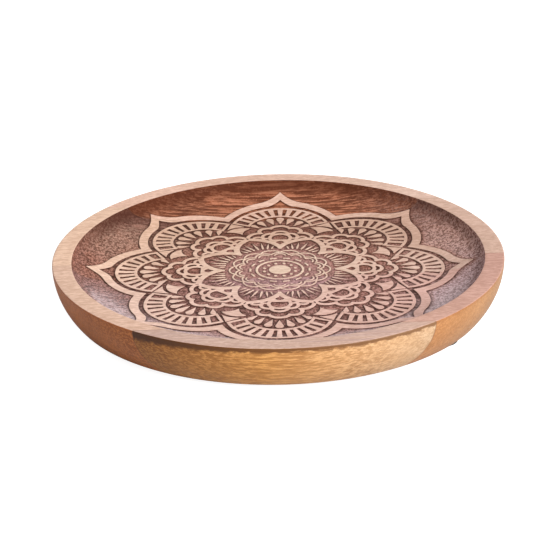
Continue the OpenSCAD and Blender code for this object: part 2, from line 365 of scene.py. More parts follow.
def contours(values, level):
    """Polylines in grid coordinates (row, column); closed ones repeat their first point."""
    height, width = values.shape
    above = values > level
    codes = above[:-1, :-1] * 1 + above[:-1, 1:] * 2 + above[1:, 1:] * 4 + above[1:, :-1] * 8
    rows, columns = np.nonzero((codes > 0) & (codes < 15))
    codes = codes[rows, columns]
    # grid edges are numbered by their first corner, first all along rows, then along columns
    first = rows * width + columns
    upright = height * width
    sides = {"t": first, "b": first + width, "l": upright + first, "r": upright + first + 1}
    total = values[:-1, :-1] + values[:-1, 1:] + values[1:, 1:] + values[1:, :-1]
    middle = total[rows, columns] / 4 > level
    cases = [(codes == code, pair) for code, pair in CROSSINGS.items()]
    for code, high, low in SADDLES:
        cases += [((codes == code) & middle, pair) for pair in high]
        cases += [((codes == code) & ~middle, pair) for pair in low]
    segments = np.concatenate([np.c_[sides[a][mask], sides[b][mask]] for mask, (a, b) in cases])
    linked = {}
    for a, b in segments.tolist():
        linked.setdefault(a, []).append(b)
        linked.setdefault(b, []).append(a)

    def point(edge):
        if edge < upright:
            i, j = divmod(edge, width)
            a, b = values[i, j], values[i, j + 1]
            return i, j + (level - a) / (b - a)
        i, j = divmod(edge - upright, width)
        a, b = values[i, j], values[i + 1, j]
        return i + (level - a) / (b - a), j

    unused = set(linked)

    def walk(start):
        line = [start, linked[start][0]]
        unused.difference_update(line)
        while True:
            ahead = [edge for edge in linked[line[-1]] if edge != line[-2]]
            if not ahead:
                return line
            line.append(ahead[0])
            if ahead[0] == start:
                return line
            unused.discard(ahead[0])

    lines = []
    for edge in sorted(edge for edge, others in linked.items() if len(others) == 1):
        if edge in unused:
            lines.append(walk(edge))
    while unused:
        lines.append(walk(min(unused)))
    return [np.array([point(edge) for edge in line], float) for line in lines]


def simplify(points, longest=6):
    """Douglas-Peucker, also splitting long pieces; None for a closed line that vanishes."""
    count = len(points)
    keep = np.zeros(count, bool)
    keep[[0, count - 1]] = True
    closed = np.allclose(points[0], points[-1])
    if closed:
        if count < 6:
            return None
        farthest = int(np.argmax(((points - points[0]) ** 2).sum(1)))
        keep[farthest] = True
        stack = [(0, farthest), (farthest, count - 1)]
    else:
        stack = [(0, count - 1)]
    while stack:
        a, b = stack.pop()
        if b - a < 2:
            continue
        chord = points[b] - points[a]
        offset = points[a + 1 : b] - points[a]
        length = math.hypot(*chord)
        if length > 1e-9:
            distance = np.abs(chord[0] * offset[:, 1] - chord[1] * offset[:, 0]) / length
        else:
            distance = np.hypot(offset[:, 0], offset[:, 1])
        k = int(np.argmax(distance))
        too_far = distance[k] > TOLERANCE
        if too_far or (b - a > 2 and length > longest):
            k = a + 1 + (k if too_far else (b - a) // 2 - 1)
            keep[k] = True
            stack += [(a, k), (k, b)]
    kept = points[keep]
    return None if closed and len(kept) < 4 else kept


class Plan:
    """Points and lines for one triangulation, with the field's value at each point."""

    def __init__(self):
        self.points, self.values, self.index, self.edges = [], [], {}, []

    def add(self, x, y, value):
        key = (round(x, 6), round(y, 6))
        if key not in self.index:
            self.index[key] = len(self.points)
            self.points.append((x, y))
            self.values.append(value)
        return self.index[key]

    def join(self, points):
        self.edges += [(a, b) for a, b in zip(points, points[1:]) if a != b]

    def contour(self, points, level):
        line = simplify(points)
        if line is not None:
            self.join([self.add(x, y, level) for x, y in line])

    def fill(self, field, inside, x_range, y_range):
        """An even spread of points on the open ground and on broad lines."""
        rows = []
        for k, y in enumerate(np.arange(*y_range, OPEN_STEP * math.sqrt(3) / 2)):
            xs = np.arange(x_range[0] + (k % 2) * OPEN_STEP / 2, x_range[1], OPEN_STEP)
            rows.append(np.c_[xs, np.full(len(xs), y)])
        points = np.concatenate(rows)
        points = points[inside(points[:, 0], points[:, 1])]
        values = field(points[:, 0], points[:, 1])
        clear = (values > LEVELS[0] + OPEN_CLEAR) | (values < LEVELS[2] - OPEN_CLEAR)
        for (x, y), value in zip(points[clear], values[clear]):
            self.add(x, y, value)

    def mesh(self, field):
        """Points, upward triangles and the field's values."""
        out = delaunay_2d_cdt([Vector(p) for p in self.points], self.edges, [], 0, 1e-6)
        points = np.array([tuple(point) for point in out[0]], float)
        tris = np.array(out[2], int)
        values = np.full(len(points), np.nan)
        for i, source in enumerate(out[3]):
            if source:
                values[i] = self.values[source[0]]
                points[i] = self.points[source[0]]
        missing = np.isnan(values)
        if missing.any():
            values[missing] = field(points[missing, 0], points[missing, 1])
        a, b, c = (points[tris[:, k]] for k in range(3))
        area = 0.5 * ((b[:, 0] - a[:, 0]) * (c[:, 1] - a[:, 1])
                      - (b[:, 1] - a[:, 1]) * (c[:, 0] - a[:, 0]))
        tris[area < 0] = tris[area < 0][:, ::-1]
        return points, tris[np.abs(area) > 1e-9], values


def spaced(fixed, low, high, clear=0.45):
    """The fixed values and even ones between them that keep clear of them."""
    fixed = sorted({low, high, *fixed})
    out = []
    for a, b in zip(fixed, fixed[1:]):
        out.append(a)
        count = int((b - a) / OPEN_STEP)
        if count > 0 and b - a > 2 * clear:
            out += list(np.linspace(a, b, count + 2)[1:-1])
    return out + [fixed[-1]]


def half_petal():
    """From the axis of the petal at +Y clockwise to the gap; bearings are from +Y."""
    field = flower()
    last = math.radians(HALF_PITCH)
    radii = np.linspace(INNER_RADIUS, OUTER_RADIUS,
                        int((OUTER_RADIUS - INNER_RADIUS) / GRID_STEP) + 1)
    bearings = np.linspace(0, last, int(last * OUTER_RADIUS / GRID_STEP) + 1)
    across, out = np.meshgrid(bearings, radii)
    values = field(out * np.sin(across), out * np.cos(across))
    plan = Plan()
    crossings = {0.0: [], last: []}     # radii where lines meet the two straight borders
    for level in LEVELS:
        for line in contours(values, level + 1e-7):
            radius = radii[0] + line[:, 0] * (radii[1] - radii[0])
            bearing = line[:, 1] * (bearings[1] - bearings[0])
            if not np.allclose(line[0], line[-1]):
                for end in (0, -1):
                    if line[end, 1] < 1e-9:
                        bearing[end] = 0.0
                        crossings[0.0].append(radius[end])
                    elif line[end, 1] > len(bearings) - 1 - 1e-9:
                        bearing[end] = last
                        crossings[last].append(radius[end])
            plan.contour(np.c_[radius * np.sin(bearing), radius * np.cos(bearing)], level)
    for border, met in crossings.items():
        radius = np.array(spaced(met, INNER_RADIUS, OUTER_RADIUS))
        x, y = radius * math.sin(border), radius * math.cos(border)
        plan.join([plan.add(*point) for point in zip(x, y, field(x, y))])
    for radius, sides in ((INNER_RADIUS, INNER_SIDES), (OUTER_RADIUS, OUTER_SIDES)):
        arc = np.linspace(0, last, sides // (2 * PETALS) + 1)
        plan.join([plan.add(radius * math.sin(a), radius * math.cos(a), GROUND) for a in arc])

    def inside(x, y):
        radius, bearing = np.hypot(x, y), np.arctan2(x, y)
        return ((radius > INNER_RADIUS + MARGIN) & (radius < OUTER_RADIUS - MARGIN)
                & (radius * np.sin(bearing) > MARGIN) & (radius * np.sin(last - bearing) > MARGIN))

    plan.fill(field, inside, x_range=(0, 52), y_range=(30, 132))
    points, tris, values = plan.mesh(field)
    radius = np.hypot(points[:, 0], points[:, 1])
    return points, tris[~(radius[tris] < INNER_RADIUS + 1e-5).all(1)], values


def centre():
    field = lace()
    grid = np.linspace(-INNER_RADIUS, INNER_RADIUS, int(2 * INNER_RADIUS / GRID_STEP) | 1)
    values = field(*np.meshgrid(grid, grid))
    plan = Plan()
    for level in LEVELS:
        for line in contours(values, level + 1e-7):
            plan.contour(grid[0] + line[:, ::-1] * (grid[1] - grid[0]), level)
    angles = np.radians(np.arange(INNER_SIDES) * 360 / INNER_SIDES)
    border = [plan.add(INNER_RADIUS * math.sin(a), INNER_RADIUS * math.cos(a), GROUND)
              for a in angles]
    plan.join(border + border[:1])
    plan.fill(field, lambda x, y: np.hypot(x, y) < INNER_RADIUS - MARGIN,
              x_range=(-36, 36), y_range=(-36, 36))
    return plan.mesh(field)


def weld(points):
    """First point at each place, and the new index of every old point."""
    key = np.round(points, 4) + 0.0
    _, first, index = np.unique(key, axis=0, return_index=True, return_inverse=True)
    return first, index.reshape(-1)


def carving():
    """The whole carving, flat and about its own centre."""
    half, half_tris, half_values = half_petal()
    points, tris, values, count = [], [], [], 0
    for k in range(PETALS):
        angle = math.radians(PITCH * k)
        cos, sin = math.cos(angle), math.sin(angle)
        for mirror in (1, -1):
            x, y = half[:, 0] * mirror, half[:, 1]
            points.append(np.c_[x * cos - y * sin, x * sin + y * cos])
            tris.append((half_tris if mirror == 1 else half_tris[:, ::-1]) + count)
            values.append(half_values)
            count += len(half)
    middle, middle_tris, middle_values = centre()
    points = np.concatenate(points + [middle])
    first, index = weld(points)
    tris = index[np.concatenate(tris + [middle_tris + count])]
    a, b, c = tris.T
    tris = tris[(a != b) & (b != c) & (a != c)]
    return points[first], tris, np.concatenate(values + [middle_values])[first]


# ---------------------------------------------------------------------------
# the whole plate as one closed surface
# ---------------------------------------------------------------------------
class Shell:
    """Points with their line inset, bareness and outerness, and the faces between them."""

    def __init__(self):
        self.points, self.tris, self.quads, self.count = [], [], [], 0
        self.attributes = {"line": [], "bare": [], "outer": []}
        self.last_ring = None

    def add(self, points, line=PLAIN, bare=0.0, outer=0.0):
        """Adds points and returns the index of the first."""
        start = self.count
        self.count += len(points)
        self.points.append(points)
        for name, value in (("line", line), ("bare", bare), ("outer", outer)):
            self.attributes[name].append(np.broadcast_to(value, len(points)))
        return start

    def add_ring(self, x, y, z, bare=0.0, outer=0.0):
        """Adds a ring and the quads from the last ring to it."""
        z = np.broadcast_to(z, len(x))
        ids = self.add(np.c_[x, y, z], bare=bare, outer=outer) + np.arange(len(x))
        last = self.last_ring
        self.quads.append(np.c_[last, ids, np.roll(ids, -1), np.roll(last, -1)])
        self.last_ring = ids

    def build(self, name):
        points, tris = np.concatenate(self.points), np.concatenate(self.tris)
        quads = np.concatenate(self.quads)
        first, index = weld(points)
        mesh = bpy.data.meshes.new(name)
        mesh.from_pydata(
            (points[first] * MM).tolist(), [], index[tris].tolist() + index[quads].tolist())
        for key, values in self.attributes.items():
            attribute = mesh.attributes.new(key, "FLOAT", "POINT")
            attribute.data.foreach_set("value", np.concatenate(values)[first].astype(np.float32))
        mesh.update()
        return mesh


def tight_cove_and_rim():
    """Rows of radius, height, bare, outer, going outwards."""
    rim_inner = LIP_X + math.sqrt(LIP_RADIUS**2 - (LIP_Z - RIM_Z) ** 2)
    start = math.asin((COLLAR_RADIUS - LIP_X) / LIP_RADIUS)
    end = math.acos((LIP_Z - RIM_Z + RIM_WEAR) / LIP_RADIUS)
    for angle in np.linspace(start, end, 9)[1:]:
        yield LIP_X + LIP_RADIUS * math.sin(angle), LIP_Z - LIP_RADIUS * math.cos(angle), 0, 0
    for out, up, bare in WORN_EDGE:
        yield rim_inner + out, RIM_Z + up, bare, 0
    for radius in RIM_RINGS:
        yield radius, RIM_Z, 1, 0
    for degrees, outer in RIM_ROUND_STEPS:
        angle = math.radians(degrees)
        radius = PLATE_RADIUS - 0.02 - RIM_ROUND + RIM_ROUND * math.sin(angle)
        yield radius, RIM_Z - RIM_ROUND + RIM_ROUND * math.cos(angle), 1 - outer, outer


COLLAR_RADIUS = 133.6   # first ring about the plate's own axis, outside the carving
BASE_ROUND_Z = BASE_Z + BASE_ROUND
BASE_RADIUS = WALL_X + math.sqrt(
    (WALL_RADIUS - BASE_ROUND) ** 2 - (RIM_Z - BASE_Z - BASE_ROUND) ** 2)


def wall():
    """Rows of radius, height, bare, outer, going down to the flat underside."""
    start = math.asin((RIM_ROUND + 0.5) / WALL_RADIUS)
    end = math.asin((RIM_Z - BASE_ROUND_Z) / (WALL_RADIUS - BASE_ROUND))
    for angle in np.linspace(start, end, 22):
        radius = WALL_X + WALL_RADIUS * math.cos(angle)
        yield radius, RIM_Z - WALL_RADIUS * math.sin(angle), 0, 1
    for angle in np.linspace(end, math.pi / 2, 7)[1:]:
        radius = BASE_RADIUS + BASE_ROUND * math.cos(angle)
        yield radius, BASE_ROUND_Z - BASE_ROUND * math.sin(angle), 0, 1


def add_underside(shell, cos, sin):
    """Flat underside with three screw holes that end in shallow cones."""
    plan = Plan()
    border = [plan.add(BASE_RADIUS * x, BASE_RADIUS * y, 0) for x, y in zip(cos, sin)]
    plan.join(border + border[:1])
    around = np.radians(np.arange(HOLE_SIDES) * (360 // HOLE_SIDES))
    holes = []
    for k in range(3):
        bearing = math.radians(HOLE_TURN + 120 * k)
        x, y = HOLE_CIRCLE * math.cos(bearing), HOLE_CIRCLE * math.sin(bearing)
        loop = [plan.add(x + HOLE_RADIUS * math.cos(a), y + HOLE_RADIUS * math.sin(a), 0)
                for a in around]
        plan.join(loop + loop[:1])
        holes.append((x, y))
    for radius in (28, 56, 84, 108):
        count = max(6, int(radius / 4))
        for k in range(count):
            angle = 2 * math.pi * k / count
            plan.add(radius * math.cos(angle), radius * math.sin(angle), 0)
    plan.add(0, 0, 0)
    points, tris, _ = plan.mesh(lambda x, y: x * 0)
    middle = points[tris].mean(1)
    solid = np.ones(len(tris), bool)
    for x, y in holes:
        solid &= np.hypot(middle[:, 0] - x, middle[:, 1] - y) > HOLE_RADIUS
    start = shell.add(np.c_[points, np.full(len(points), BASE_Z)], outer=1)
    shell.tris.append(tris[solid][:, ::-1] + start)
    top_z = BASE_Z + HOLE_DEPTH
    for x, y in holes:
        circle = np.c_[x + HOLE_RADIUS * np.cos(around), y + HOLE_RADIUS * np.sin(around)]
        start = shell.add(np.concatenate([
            np.c_[circle, np.full(HOLE_SIDES, BASE_Z)],
            np.c_[circle, np.full(HOLE_SIDES, top_z)],
            [[x, y, top_z + HOLE_TIP]]]), outer=1)
        low = start + np.arange(HOLE_SIDES)
        high = low + HOLE_SIDES
        tip = np.full(HOLE_SIDES, start + 2 * HOLE_SIDES)
        shell.quads.append(np.c_[low, high, np.roll(high, -1), np.roll(low, -1)][:, ::-1])
        shell.tris.append(np.c_[high, np.roll(high, -1), tip][:, ::-1])


def plate_mesh():
    flat, tris, values = carving()
    border = np.nonzero(np.abs(np.hypot(flat[:, 0], flat[:, 1]) - OUTER_RADIUS) < 1e-3)[0]
    border = border[np.argsort(np.arctan2(flat[border, 1], flat[border, 0]))]
    # lay the carving into the hollow
    turn = math.radians(CARVING_TURN)
    cos, sin = math.cos(turn), math.sin(turn)
    x = flat[:, 0] * cos - flat[:, 1] * sin + CARVING_X
    y = flat[:, 0] * sin + flat[:, 1] * cos + CARVING_Y
    depth = np.interp(values, LEVELS[::-1], DEPTHS[::-1])
    shell = Shell()
    shell.add(np.c_[x, y, hollow_height(np.hypot(x, y), depth)], line=np.clip(values, -4, 3))
    shell.tris.append(tris)
    shell.last_ring = border
    x, y = x[border], y[border]
    angles = np.arctan2(y - CARVING_Y, x - CARVING_X)
    cos, sin = np.cos(angles), np.sin(angles)
    # from the carving's circle out to rings about the plate's own axis
    for t in (0.5, 1.0):
        ring_x = x * (1 - t) + COLLAR_RADIUS * cos * t
        ring_y = y * (1 - t) + COLLAR_RADIUS * sin * t
        shell.add_ring(ring_x, ring_y, hollow_height(np.hypot(ring_x, ring_y), RELIEF))
    for radius, z, bare, outer in (*tight_cove_and_rim(), *wall()):
        shell.add_ring(radius * cos, radius * sin, z, bare, outer)
    add_underside(shell, cos, sin)
    return shell.build("plate_whole")


def link(mesh, name):
    ob = bpy.data.objects.new(name, mesh)
    bpy.context.scene.collection.objects.link(ob)
    return ob


def smooth(mesh, crisp=33):
    """Smooth shading that keeps edges sharper than so many degrees crisp."""
    bm = bmesh.new()
    bm.from_mesh(mesh)
    for face in bm.faces:
        face.smooth = True
    for edge in bm.edges:
        sharp = len(edge.link_faces) == 2 and edge.calc_face_angle(0) > math.radians(crisp)
        edge.smooth = not sharp
    bm.to_mesh(mesh)
    bm.free()


def cut_board(whole, name, front, back):
    """The part of the plate between two seams; None is the plate's own edge."""
    bm = bmesh.new()
    bm.from_mesh(whole)
    for y, side in ((front, 1), (back, -1)):
        if y is None:
            continue
        bmesh.ops.bisect_plane(
            bm, geom=bm.verts[:] + bm.edges[:] + bm.faces[:], dist=1e-7,
            plane_co=(0, y * MM, 0), plane_no=(0, side, 0), clear_inner=True)
        cut = [edge for edge in bm.edges if len(edge.link_faces) == 1]
        bmesh.ops.triangle_fill(bm, use_beauty=True, use_dissolve=False, edges=cut)
    bmesh.ops.recalc_face_normals(bm, faces=bm.faces[:])
    mesh = bpy.data.meshes.new(name)
    bm.to_mesh(mesh)
    bm.free()
    smooth(mesh)
    return link(mesh, name)


# ---------------------------------------------------------------------------
# materials
# ---------------------------------------------------------------------------
def srgb(*channels):
    return tuple(v / 255 / 12.92 if v / 255 <= 0.04045 else ((v / 255 + 0.055) / 1.055) ** 2.4
                 for v in channels)


class Nodes:
    """A material's node tree; values may be numbers, tuples or sockets."""

    def __init__(self, name):
        self.material = bpy.data.materials.new(name)
        self.material.use_nodes = True
        self.tree = self.material.node_tree
        self.tree.nodes.clear()
        output = self.node("OutputMaterial")
        self.shader = self.node("BsdfPrincipled")
        self.tree.links.new(self.shader.outputs[0], output.inputs[0])

    def put(self, node, inputs):
        for key, value in inputs.items():
            socket = node.inputs[key]
            if isinstance(value, bpy.types.NodeSocket):
                self.tree.links.new(value, socket)
            elif isinstance(value, tuple) and socket.type == "RGBA":
                socket.default_value = (*value, 1)
            else:
                socket.default_value = value

    def node(self, kind, inputs={}, **settings):
        node = self.tree.nodes.new("ShaderNode" + kind)
        for key, value in settings.items():
            setattr(node, key, value)
        self.put(node, inputs)
        return node

    def surface(self, inputs):
        self.put(self.shader, inputs)

    def attribute(self, name):
        return self.node("Attribute", attribute_name=name).outputs["Fac"]

    def vector(self, operation, a, b):
        return self.node("VectorMath", {0: a, 1: b}, operation=operation).outputs[0]

    def millimetres(self):
        place = self.node("TexCoord").outputs["Object"]
        return self.vector("MULTIPLY", place, (1000.0, 1000.0, 1000.0))

    def math(self, operation, *values):
        return self.node("Math", dict(enumerate(values)), operation=operation).outputs[0]

    def add(self, a, b):
        return self.math("ADD", a, b)

    def sub(self, a, b):
        return self.math("SUBTRACT", a, b)

    def mul(self, *factors):
        return reduce(partial(self.math, "MULTIPLY"), factors)

    def scaled(self, value, by, plus):
        return self.math("MULTIPLY_ADD", value, by, plus)

    def distance(self, a, b):
        return self.math("SQRT", self.add(self.mul(a, a), self.mul(b, b)))

    def split(self, vector):
        return self.node("SeparateXYZ", {0: vector}).outputs

    def join(self, x, y, z):
        return self.node("CombineXYZ", {0: x, 1: y, 2: z}).outputs[0]

    def noise(self, place, scale, detail, roughness):
        return self.node("TexNoise", {
            "Vector": place, "Scale": scale, "Detail": detail, "Roughness": roughness,
        }).outputs["Fac"]

    def fade(self, value, over, to=(0.0, 1.0), kind="SMOOTHSTEP"):
        """Runs between the two values of to while value runs between those of over."""
        return self.node("MapRange", {
            "Value": value, "From Min": over[0], "From Max": over[1],
            "To Min": to[0], "To Max": to[1]}, interpolation_type=kind, clamp=True).outputs[0]

    def mix(self, amount, under, over, mode="MIX"):
        return self.node("Mix", {0: amount, 6: under, 7: over}, data_type="RGBA",
                         blend_type=mode, clamp_factor=True).outputs[2]

    def blend(self, amount, under, over):
        return self.node("Mix", {0: amount, 2: under, 3: over}, data_type="FLOAT").outputs[0]

    def tint(self, base, by):
        """A colour times a factor or three; worked out here when the base is plain numbers."""
        if not isinstance(base, tuple):
            return self.mix(1.0, base, by, "MULTIPLY")
        by = by if isinstance(by, tuple) else (by, by, by)
        return tuple(min(1.0, a * b) for a, b in zip(base, by))

    def ramp(self, value, stops):
        node = self.node("ValToRGB", {0: value})
        elements = node.color_ramp.elements
        while len(elements) < len(stops):
            elements.new(0.5)
        for element, (position, colour) in zip(elements, stops):
            element.position = position
            element.color = (*colour, 1)
        return node.outputs[0]

    def bump(self, height, strength, distance):
        return self.node("Bump", {
            "Strength": strength, "Distance": distance, "Height": height}).outputs[0]


# noises drawn out along the board: waves per mm along and across, detail, roughness, shift
GRAINS = {
    "bend": (0.006, 0.018, 2, 0.55, 0.0), "cloudy": (0.011, 0.03, 2, 0.55, 0.0),
    "band": (0.035, 0.55, 2, 0.6, 0.0), "fibre": (0.055, 1.9, 3, 0.6, 0.0),
    "fine": (0.22, 4.4, 2, 0.55, 0.0), "pore": (0.13, 1.35, 2, 0.7, 0.0),
    "fleck": (0.075, 0.80, 3, 0.66, 17.0), "chip": (0.20, 0.95, 3, 0.72, 71.0),
    "patch": (0.05, 0.30, 2, 0.6, 23.0), "speck": (0.62, 0.46, 3, 0.8, 31.0),
    "streak": (0.022, 0.36, 2, 0.6, 61.0), "reed": (0.024, 0.80, 3, 0.65, 83.0),
    "tick": (0.20, 0.75, 2, 0.7, 43.0), "grey": (0.016, 0.42, 2, 0.6, 5.0),
    "ragged": (0.10, 0.30, 3, 0.65, 9.0),
}


class BoardWood(Nodes):
    """Pale sanded wood, dark stained ground and a lacquered outside, cut from the same grain."""

    def __init__(self, name, seed, pith):
        super().__init__(name)
        self.place = self.millimetres()
        shift = (37.0 * seed, 11.3 * seed, 5.7 * seed)
        self.x, self.y, self.z = self.split(self.place)
        self.shifted = self.split(self.vector("ADD", self.place, shift))
        self.grains = {}
        # year rings round a pith that runs along X below the board
        depth = self.distance(self.sub(self.y, pith[0]), self.sub(self.z, pith[1]))
        depth = self.add(depth, self.mul(self.grain("bend"), 26.0))
        # waves per mm through the rings and along the board, seed, detail, roughness
        for key, through, along, ring_seed, detail, roughness in (
                ("figure", 0.20, 0.0030, seed, 3, 0.62), ("rings", 0.75, 0.008, seed + 4, 2, 0.6)):
            point = self.join(
                self.mul(depth, through), self.mul(self.shifted[0], along), ring_seed)
            self.grains[key] = self.noise(point, 1, detail, roughness)
        self.grains["pores"] = self.mask("pore", over=(0.60, 0.70))
        self.radius = self.distance(self.x, self.y)
        self.middle = self.fade(self.radius, over=(62.0, 22.0))
        self.side = self.fade(self.x, over=(-135.0, 135.0), kind="LINEAR")
        self.line = self.attribute("line")

    def grain(self, name):
        """The named noise, made when first asked for."""
        if name not in self.grains:
            along, across, detail, roughness, shift = GRAINS[name]
            x, y, z = self.shifted
            point = self.join(
                self.mul(x, along), self.scaled(y, across, shift), self.mul(z, across))
            self.grains[name] = self.noise(point, 1, detail, roughness)
        return self.grains[name]

    def mask(self, grain, over, to=(0.0, 1.0)):
        return self.fade(self.grain(grain), over, to)

    def figured(self, base, amount, darker, lighter):
        cover = self.mask("figure", over=(0.30, 0.70), to=(0.0, amount))
        return self.mix(cover, self.tint(base, darker), self.tint(base, lighter))

    def layers(self, colour, rows):
        """Rows of grain, its range (None: as it is), amount, colour and perhaps a weight."""
        for grain, over, amount, layer, *weight in rows:
            if over:
                cover = self.mask(grain, over, to=(0.0, amount))
            else:
                cover = self.mul(self.grain(grain), amount)
            colour = self.mix(self.mul(cover, *weight), colour, layer)
        return colour

    def bare_wood(self, left, right, rim_marks):
        """Sanded wood; on the raised lines it is lighter or warmer than on the rim."""
        # the tone from left to right is partly the wood's own, partly painted light, brighter at the
        # left
        wood = self.mix(self.side, left, right)
        tone = partial(self.tint, wood)
        colour = self.figured(wood, 0.9, darker=(0.86, 0.83, 0.80), lighter=(1.09, 1.10, 1.11))
        colour = self.layers(colour, (
            ("band", (0.46, 0.60), 0.55, tone((0.82, 0.76, 0.74))),
            ("fibre", (0.46, 0.60), 0.40, tone((0.74, 0.66, 0.60))),
            ("tick", (0.50, 0.59), 0.50, tone((0.72, 0.64, 0.60))),
            ("tick", (0.48, 0.39), 0.50, tone((1.18, 1.20, 1.22))),
            ("pores", None, 0.30, tone((0.55, 0.46, 0.42))),
            ("fine", (0.40, 0.7), 0.25, tone((1.16, 1.16, 1.16)))))
        front, back, middle = (1.11, 1.16, 1.25), (0.97, 0.94, 0.93), (1.12, 1.24, 1.28)
        outside = self.mix(self.fade(self.y, over=(-60.0, 80.0)), front, back)
        on_lines = self.tint(colour, self.mix(self.middle, outside, middle))
        colour = self.mix(self.attribute("bare"), on_lines, colour)
        if not rim_marks:
            return colour
        # greyish streaks and a small old mark on the rim
        streaks, mark = rim_marks
        mark_at, mark_stretch = (-86.6, -114.2, RIM_Z), (0.22, 0.45, 0.3)
        colour = self.mix(self.mask("grey", over=(0.46, 0.62), to=(0.0, 0.42)), colour, streaks)
        offset = self.vector("SUBTRACT", self.place, mark_at)
        offset = self.vector("MULTIPLY", offset, mark_stretch)
        away = self.node("VectorMath", {0: offset}, operation="LENGTH").outputs["Value"]
        away = self.add(away, self.mul(self.grain("speck"), 0.5))
        return self.mix(self.fade(away, over=(0.5, 1.5), to=(0.55, 0.0)), colour, mark)

    def stained_ground(self, stain, warm):
        tone = partial(self.tint, stain)
        dark = tone(0.36)
        darker = partial(self.tint, dark)
        stops = [(0.0, tone(0.58)), (0.5, stain), (1.0, tone((1.50, 1.38, 1.25)))]
        colour = self.ramp(
            self.fade(self.grain("figure"), over=(0.36, 0.64), kind="LINEAR"), stops)
        # grain; weights change from front to back
        back = self.fade(self.y, over=(40.0, 95.0))
        weight = partial(self.blend, back)
        calm = weight(1.0, 0.45)
        colour = self.layers(colour, (
            ("rings", (0.48, 0.62), 0.55, tone(warm)),
            ("band", (0.48, 0.60), 0.55, dark),
            ("fibre", (0.48, 0.60), 0.35, dark),
            ("speck", (0.51, 0.565), 0.85, tone((2.2, 2.65, 2.9)), calm),
            ("speck", (0.49, 0.435), 0.88, darker(0.9), calm),
            ("band", (0.505, 0.44), 0.55, tone((1.45, 1.75, 1.90)), weight(0.35, 1.0)),
            ("reed", (0.505, 0.57), 0.70, tone((2.0, 2.5, 2.7)), weight(0.25, 1.0)),
            ("reed", (0.495, 0.43), 0.60, dark, weight(0.20, 1.0)),
            ("streak", (0.50, 0.58), 1.0, darker((0.9, 0.8, 0.8)), weight(0.15, 0.75)),
            ("pores", None, 0.6, darker(0.6))))
        outwards = self.fade(self.math("ABSOLUTE", self.x), over=(22.0, 92.0), to=(0.0, 0.46))
        colour = self.mix(self.mul(outwards, back), colour, darker((1.1, 1.25, 1.45)))
        colour = self.painted_side_light(colour)
        # paler in the middle
        cover = self.mul(self.middle, self.mask("speck", over=(0.45, 0.55), to=(0.28, 0.80)))
        colour = self.mix(cover, colour, tone((2.15, 2.95, 3.9)))
        # painted shade, darkest under the rim
        cover = self.mul(
            self.fade(self.radius, over=(127.0, 136.0), to=(0.0, 0.80)),
            self.fade(self.y, over=(10.0, 80.0), to=(0.25, 1.0)),
            self.fade(self.x, over=(40.0, 110.0), to=(1.0, 0.55)))
        colour = self.mix(cover, colour, darker((0.80, 0.66, 0.60)))
        colour = self.front_painted_sheen(colour)
        # and darker beside the raised lines: partly stain pooled at their foot, partly painted shade
        cover = self.mul(
            self.fade(self.line, over=(-1.9, -0.2), to=(0.0, 0.90)),
            self.scaled(self.middle, by=-0.50, plus=1.0),
            self.mask("patch", over=(0.42, 0.58), to=(0.60, 1.0)))
        return self.mix(cover, colour, darker((0.62, 0.58, 0.56)))

    def painted_side_light(self, colour):
        """Painted light: a pale sheen patch at the left and a glow at the right, mostly for a viewer
        in front of the plate.
        """
        towards = self.split(self.node("NewGeometry").outputs["Incoming"])[1]
        self.ahead = self.fade(towards, over=(0.20, -0.50))
        # painted sheen patch at the left back of the hollow
        left_sheen_distance = self.distance(self.add(self.x, 98.0), self.sub(self.y, 58.0))
        left_sheen_tint = (0.52, 0.33, 0.24)
        cover = self.mul(
            self.fade(left_sheen_distance, over=(62.0, 12.0), to=(0.0, 0.50)),
            self.mask("speck", over=(0.46, 0.56), to=(0.15, 1.0)),
            self.mul(self.ahead, self.fade(self.y, over=(90.0, 64.0), to=(0.2, 1.0))))
        colour = self.mix(cover, colour, left_sheen_tint)
        # painted glow over the right side of the hollow
        lit_back_tint, lit_front_tint = (0.56, 0.36, 0.31), (0.53, 0.365, 0.37)
        painted_glow = self.mul(
            self.fade(self.x, over=(50.0, 110.0), to=(0.0, 0.97)),
            self.mask("speck", over=(0.46, 0.55), to=(0.22, 1.0)),
            self.fade(self.line, over=(-1.2, -4.2), to=(0.32, 1.0)),
            self.fade(self.y, over=(105.0, 10.0), to=(0.25, 1.0)))
        cover = self.mul(painted_glow, self.scaled(self.ahead, by=0.8, plus=0.2))
        right_lit_tint = self.mix(self.fade(self.y, over=(50.0, -40.0)), lit_back_tint, lit_front_tint)
        return self.mix(cover, colour, right_lit_tint)

    def front_painted_sheen(self, colour):
        """Painted sheen: a pale painted reflection at grazing angles on the front part of the cove.
        """
        facing = self.node("LayerWeight", {"Blend": 0.5}).outputs["Facing"]
        painted_sheen_tint = (0.76, 0.65, 0.68)
        cover = self.mul(
            self.fade(facing, over=(0.55, 0.82), to=(0.0, self.blend(self.side, 1.0, 0.62))),
            self.mask("speck", over=(0.45, 0.56), to=(0.62, 0.92)),
            self.mask("band", over=(0.56, 0.46), to=(0.45, 1.0)),
            self.fade(self.radius, over=(92.0, 112.0), to=(0.12, 1.0)),
            self.fade(self.y, over=(-4.0, -44.0)),
            self.fade(self.radius, over=(127.0, 132.5), to=(1.0, 0.10)),
            self.ahead)
        return self.mix(cover, colour, painted_sheen_tint)

    def lacquer(self, base):
        tone = partial(self.tint, base)
